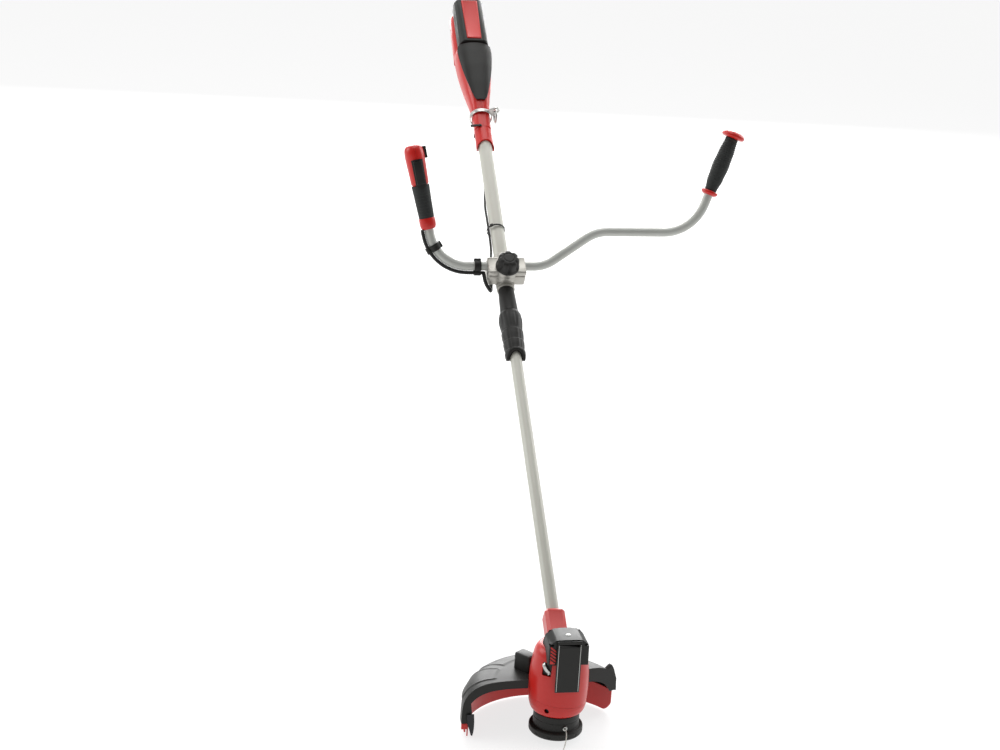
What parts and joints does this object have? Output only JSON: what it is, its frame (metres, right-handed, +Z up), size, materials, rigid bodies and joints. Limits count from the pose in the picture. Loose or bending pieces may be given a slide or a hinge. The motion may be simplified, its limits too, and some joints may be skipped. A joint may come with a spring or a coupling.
{
  "type": "brush cutter",
  "caption": "Cordless brush cutter: motor head with line spool and guard, split shaft, bull-horn handlebar with trigger handle and plain grip, rear battery unit with harness ring.",
  "frame": {"origin": "centre of the harness eye, the hole in the bracket's ear", "axes": "+Z up; +Y from the cutting head towards the battery, level; +X towards the plain grip"},
  "size_m": [0.6653, 1.4693, 1.0391],
  "materials": {
    "tube_paint": "light grey satin paint",
    "bar_paint": "grey satin paint",
    "cast_metal": "cast, satin",
    "steel": "plated",
    "copper": "enamelled winding",
    "red_plastic": "semi-gloss moulded",
    "black_plastic": "matte moulded",
    "soft_grip": "soft ribbed",
    "cable_sheath": "satin",
    "board": "circuit board",
    "line": "translucent nylon"
  },
  "bodies": {
    "upper_shaft": {"upper_tube": "tube_paint", "shaft_bush": "black_plastic", "connector_sleeve": "black_plastic", "clamp_base": "cast_metal", "clamp_cap": "cast_metal", "cable_tie": "black_plastic", "shaft_cable": "cable_sheath", "neck_collar": "red_plastic", "cable_gland": "black_plastic", "harness_bracket": "steel", "rear_housing_left": "red_plastic", "rear_housing_right": "red_plastic", "shield_cover": "black_plastic", "controller_board": "board", "battery_terminal": "black_plastic", "rear_lead": "cable_sheath"},
    "harness_loop": {"harness_ring": "steel"},
    "shaft_nut": {"lock_nut": "black_plastic"},
    "bar_knob": {"clamp_knob": "black_plastic"},
    "handlebar": {"handlebar_tube": "bar_paint", "plain_grip": "soft_grip", "grip_flange": "red_plastic", "grip_end_cap": "red_plastic", "handle_shell_left": "red_plastic", "handle_shell_right": "red_plastic", "soft_grip": "soft_grip", "handle_collar": "red_plastic", "micro_switch": "black_plastic", "trigger_spring": "steel", "cable_clip_upper": "black_plastic", "cable_clip_lower": "black_plastic", "bar_cable": "cable_sheath"},
    "trigger_lever": {"trigger": "black_plastic"},
    "lock_off": {"lock_off_button": "black_plastic"},
    "lower_shaft": {"lower_tube": "tube_paint", "front_lead": "cable_sheath", "motor_housing": "red_plastic", "head_ring": "red_plastic", "front_shell": "black_plastic", "cover_panel": "black_plastic", "stator": "copper", "bearing_upper": "steel", "bearing_lower": "steel", "guard": "black_plastic", "guard_extension": "red_plastic", "line_cutter": "steel"},
    "spool_drive": {"rotor": "steel", "spool_case": "black_plastic", "eyelet_front": "steel", "eyelet_rear": "steel", "cutting_line_front": "line", "cutting_line_rear": "line"},
    "bump_head": {"bump_knob": "black_plastic", "line_spool": "line", "spool_spring": "steel"},
    "battery": {"battery_case": "black_plastic", "battery_panel": "red_plastic"},
    "latch": {"battery_latch": "red_plastic"}
  },
  "joints": [
    {"name": "ring_swing", "type": "hinge", "parent": "upper_shaft", "child": "harness_loop", "pos_m": [0, 0, 0], "axis": [0, -1, 0], "range_deg": [-5, 100]},
    {"name": "nut_turn", "type": "hinge", "parent": "upper_shaft", "child": "shaft_nut", "pos_m": [-0.028, -0.47025, -0.33162], "axis": [0, 0.8387, 0.5446], "continuous": true},
    {"name": "knob_turn", "type": "hinge", "parent": "upper_shaft", "child": "bar_knob", "pos_m": [-0.028, -0.37361, -0.22247], "axis": [0, -0.5446, 0.8387], "continuous": true},
    {"name": "bar_tilt", "type": "hinge", "parent": "upper_shaft", "child": "handlebar", "pos_m": [-0.028, -0.35526, -0.22594], "axis": [1, 0, 0], "range_deg": [-20, 20], "deforming": ["shaft_cable"]},
    {"name": "trigger_pull", "type": "hinge", "parent": "handlebar", "child": "trigger_lever", "pos_m": [-0.20565, -0.32637, -0.02751], "axis": [0.9781, 0.0432, 0.2034], "range_deg": [0, 14], "stiffness_Nm_per_rad": 0.25, "springref_deg": -14.32, "deforming": ["trigger_spring"]},
    {"name": "lock_off_press", "type": "slide", "parent": "handlebar", "child": "lock_off", "axis": [-0.9781, -0.0432, -0.2034], "range_m": [0, 0.003], "stiffness_N_per_m": 300, "springref_m": -0.004},
    {"name": "shaft_split", "type": "slide", "parent": "upper_shaft", "child": "lower_shaft", "axis": [0, -0.8387, -0.5446], "range_m": [0, 0.08]},
    {"name": "spool_spin", "type": "hinge", "parent": "lower_shaft", "child": "spool_drive", "pos_m": [-0.028, -1.06026, -0.84368], "axis": [0, 0, 1], "continuous": true},
    {"name": "bump_feed", "type": "slide", "parent": "spool_drive", "child": "bump_head", "axis": [0, 0, 1], "range_m": [0, 0.005], "stiffness_N_per_m": 600, "springref_m": -0.01, "deforming": ["spool_spring"]},
    {"name": "battery_slide", "type": "slide", "parent": "upper_shaft", "child": "battery", "axis": [0, 0.8387, 0.5446], "range_m": [0, 0.12]},
    {"name": "latch_press", "type": "slide", "parent": "battery", "child": "latch", "axis": [0, -0.8387, -0.5446], "range_m": [0, 0.002], "stiffness_N_per_m": 300, "springref_m": -0.004}
  ]
}
